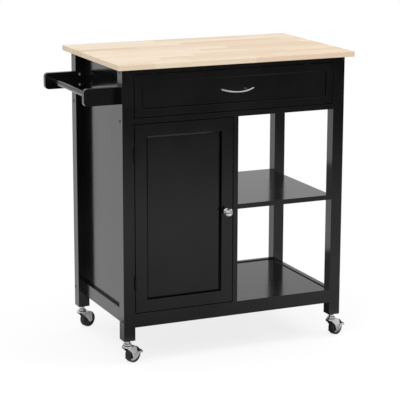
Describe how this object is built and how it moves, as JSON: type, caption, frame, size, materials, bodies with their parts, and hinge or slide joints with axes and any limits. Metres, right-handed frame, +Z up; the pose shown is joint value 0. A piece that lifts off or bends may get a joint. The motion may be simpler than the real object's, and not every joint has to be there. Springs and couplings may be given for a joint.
{
  "type": "kitchen island cart",
  "caption": "Kitchen island cart with a wooden worktop, a wide drawer, a cupboard with a framed door, an open shelved bay, a side towel rail and swivel casters with front brakes.",
  "frame": {"origin": "on the floor, under the middle of the cart's bounding box with the casters trailing as stored", "axes": "+Z up, +Y from the front to the back, +X from the towel rail's end to the open bay's end"},
  "size_m": [0.8592, 0.478, 0.9],
  "materials": {
    "black_lacquer": "satin black lacquer on wood board",
    "beech_block": "oiled block-glued hardwood",
    "birch_board": "clear-lacquered board",
    "zinc_steel": "bright zinc-plated steel",
    "chrome": "satin chrome",
    "black_steel": "black-finished steel",
    "wheel_rubber": "moulded black rubber",
    "black_plastic": "moulded black plastic"
  },
  "bodies": {
    "frame": {"worktop": "beech_block", "leg_front_left": "black_lacquer", "leg_front_right": "black_lacquer", "leg_back_left": "black_lacquer", "leg_back_right": "black_lacquer", "top_rail_front": "black_lacquer", "top_rail_back": "black_lacquer", "drawer_deck": "black_lacquer", "apron_back": "black_lacquer", "apron_right": "black_lacquer", "bottom_rail_front": "black_lacquer", "bottom_rail_back": "black_lacquer", "bottom_rail_left": "black_lacquer", "bottom_rail_right": "black_lacquer", "bottom_shelf": "black_lacquer", "mid_shelf": "black_lacquer", "side_panel_left": "black_lacquer", "divider": "black_lacquer", "back_panel": "black_lacquer", "cupboard_shelf": "black_lacquer", "shelf_pins": "zinc_steel", "towel_arm_front": "black_lacquer", "towel_arm_back": "black_lacquer", "towel_bar": "black_lacquer", "frame_bolts": "black_steel", "barrel_nuts": "zinc_steel", "wood_screws": "zinc_steel", "fixed_runners": "zinc_steel", "hinge_frame_leaves": "black_steel", "hinge_pins": "black_steel", "magnetic_catch": "black_plastic", "caster_stem_front_left": "zinc_steel", "caster_stem_front_right": "zinc_steel", "caster_stem_back_left": "zinc_steel", "caster_stem_back_right": "zinc_steel"},
    "drawer": {"drawer_front": "black_lacquer", "drawer_side_left": "birch_board", "drawer_side_right": "birch_board", "drawer_back": "birch_board", "drawer_bottom": "birch_board", "drawer_pull": "chrome", "sliding_runners": "zinc_steel"},
    "door": {"door_stile_hinge": "black_lacquer", "door_stile_knob": "black_lacquer", "door_rail_top": "black_lacquer", "door_rail_bottom": "black_lacquer", "door_panel": "black_lacquer", "door_knob": "chrome", "hinge_door_leaves": "black_steel", "catch_plate": "zinc_steel"},
    "swivel_front_left": {"caster_fork_front_left": "zinc_steel"},
    "wheel_front_left": {"wheel_front_left": "wheel_rubber"},
    "swivel_front_right": {"caster_fork_front_right": "zinc_steel"},
    "wheel_front_right": {"wheel_front_right": "wheel_rubber"},
    "swivel_back_left": {"caster_fork_back_left": "zinc_steel"},
    "wheel_back_left": {"wheel_back_left": "wheel_rubber"},
    "swivel_back_right": {"caster_fork_back_right": "zinc_steel"},
    "wheel_back_right": {"wheel_back_right": "wheel_rubber"},
    "brake_front_left": {"brake_front_left": "zinc_steel"},
    "brake_front_right": {"brake_front_right": "zinc_steel"}
  },
  "joints": [
    {"name": "drawer_slide", "type": "slide", "parent": "frame", "child": "drawer", "axis": [0, -1, 0], "range_m": [0, 0.28]},
    {"name": "door_hinge", "type": "hinge", "parent": "frame", "child": "door", "pos_m": [-0.28936, -0.21655, 0.44], "axis": [0, 0, -1], "range_deg": [0, 170]},
    {"name": "caster_swivel_front_left", "type": "hinge", "parent": "frame", "child": "swivel_front_left", "pos_m": [-0.30861, -0.195, 0.057], "axis": [0, 0, 1], "continuous": true},
    {"name": "wheel_spin_front_left", "type": "hinge", "parent": "swivel_front_left", "child": "wheel_front_left", "pos_m": [-0.28822, -0.18549, 0.025], "axis": [-0.4226, 0.9063, 0], "continuous": true},
    {"name": "caster_swivel_front_right", "type": "hinge", "parent": "frame", "child": "swivel_front_right", "pos_m": [0.37639, -0.195, 0.057], "axis": [0, 0, 1], "continuous": true},
    {"name": "wheel_spin_front_right", "type": "hinge", "parent": "swivel_front_right", "child": "wheel_front_right", "pos_m": [0.39678, -0.18549, 0.025], "axis": [-0.4226, 0.9063, 0], "continuous": true},
    {"name": "caster_swivel_back_left", "type": "hinge", "parent": "frame", "child": "swivel_back_left", "pos_m": [-0.30861, 0.195, 0.057], "axis": [0, 0, 1], "continuous": true},
    {"name": "wheel_spin_back_left", "type": "hinge", "parent": "swivel_back_left", "child": "wheel_back_left", "pos_m": [-0.28822, 0.20451, 0.025], "axis": [-0.4226, 0.9063, 0], "continuous": true},
    {"name": "caster_swivel_back_right", "type": "hinge", "parent": "frame", "child": "swivel_back_right", "pos_m": [0.37639, 0.195, 0.057], "axis": [0, 0, 1], "continuous": true},
    {"name": "wheel_spin_back_right", "type": "hinge", "parent": "swivel_back_right", "child": "wheel_back_right", "pos_m": [0.39678, 0.20451, 0.025], "axis": [-0.4226, 0.9063, 0], "continuous": true},
    {"name": "brake_lever_front_left", "type": "hinge", "parent": "swivel_front_left", "child": "brake_front_left", "pos_m": [-0.28233, -0.18274, 0.0305], "axis": [-0.4226, 0.9063, 0], "range_deg": [0, 8]},
    {"name": "brake_lever_front_right", "type": "hinge", "parent": "swivel_front_right", "child": "brake_front_right", "pos_m": [0.40267, -0.18274, 0.0305], "axis": [-0.4226, 0.9063, 0], "range_deg": [0, 8]}
  ]
}
